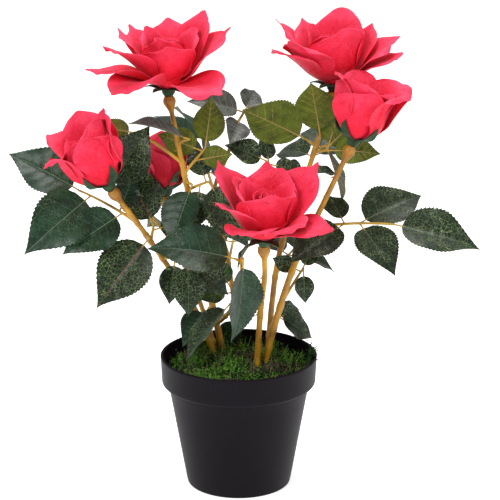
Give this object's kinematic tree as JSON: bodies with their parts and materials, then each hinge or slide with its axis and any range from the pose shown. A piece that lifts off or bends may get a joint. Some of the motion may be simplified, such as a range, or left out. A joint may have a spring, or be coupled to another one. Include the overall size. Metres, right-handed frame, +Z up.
{
  "type": "artificial rose bush in a plastic pot",
  "caption": "Artificial rose bush: open roses and half-open buds on branching stems with toothed leaf sprays, standing in a round tapered plant pot topped with moss.",
  "frame": {"origin": "centre of the pot's flat underside", "axes": "+Z up, +X to the right and -Y towards the viewer when the front is seen"},
  "size_m": [0.3592, 0.2362, 0.3677],
  "materials": {
    "pot": "fine matte moulding",
    "filling": "open foam",
    "moss": "dry dyed moss",
    "stem": "satin moulding",
    "calyx": "matte weave",
    "petal": "fine weave",
    "leaf": "printed weave with a sheen"
  },
  "bodies": {
    "root": {"back_bud": "petal", "back_bud_calyx": "calyx", "back_bud_stem": "stem", "back_high_spray": "leaf", "back_left_spray": "leaf", "back_low_spray": "leaf", "back_right_spray": "leaf", "base_middle_spray": "leaf", "base_right_spray": "leaf", "bud_side_spray": "leaf", "centre_spray": "leaf", "curved_front_spray": "leaf", "filling": "filling", "front_leaf_stem": "stem", "front_rose": "petal", "front_rose_calyx": "calyx", "front_rose_stem": "stem", "front_side_spray": "leaf", "front_spray": "leaf", "grey_left_spray": "leaf", "hanging_spray": "leaf", "inner_left_spray": "leaf", "inner_low_spray": "leaf", "inner_right_spray": "leaf", "inner_top_spray": "leaf", "left_bud": "petal", "left_bud_calyx": "calyx", "left_bud_stem": "stem", "left_low_spray": "leaf", "left_rose": "petal", "left_rose_calyx": "calyx", "left_rose_stem": "stem", "left_spray": "leaf", "low_front_spray": "leaf", "low_left_spray": "leaf", "low_right_spray": "leaf", "middle_high_spray": "leaf", "middle_leaf_stem": "stem", "middle_top_spray": "leaf", "moss_bed": "moss", "pot": "pot", "right_back_spray": "leaf", "right_bud": "petal", "right_bud_calyx": "calyx", "right_bud_stem": "stem", "right_long_spray": "leaf", "right_low_back_spray": "leaf", "right_rose": "petal", "right_rose_calyx": "calyx", "right_rose_stem": "stem", "right_spray": "leaf", "right_top_spray": "leaf", "upper_left_spray": "leaf", "upper_low_left_spray": "leaf"}
  },
  "joints": []
}
